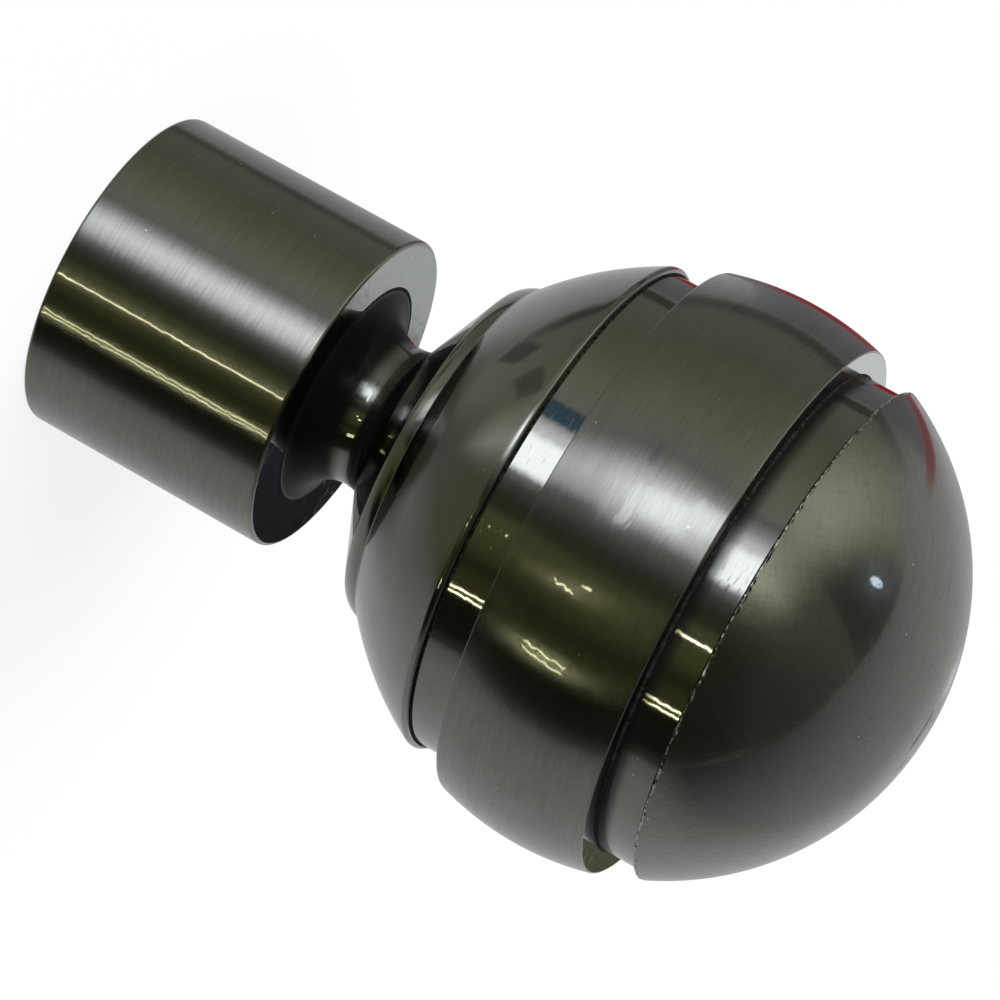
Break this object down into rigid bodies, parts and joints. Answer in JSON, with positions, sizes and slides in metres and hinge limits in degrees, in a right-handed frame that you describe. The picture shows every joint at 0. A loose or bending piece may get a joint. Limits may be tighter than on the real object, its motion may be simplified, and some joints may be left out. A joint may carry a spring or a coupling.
{
  "type": "curtain pole finial",
  "caption": "Turned metal ball finial with grooves, a waisted neck and a cup collar that slides over a pole end and locks with a grub screw.",
  "frame": {"origin": "centre of the collar's mouth, the open end that the pole goes into", "axes": "+Z along the finial's axis, from the mouth to the tip of the ball; the grub screw is on the +Y side"},
  "size_m": [0.0577, 0.0578, 0.0904],
  "materials": {
    "black_nickel": "black nickel plate over cast aluminium, brushed round the axis, with polished groove floors, end face and neck",
    "screw_steel": "blackened steel"
  },
  "bodies": {
    "root": {"finial_body": "black_nickel", "grub_screw": "screw_steel"}
  },
  "joints": []
}
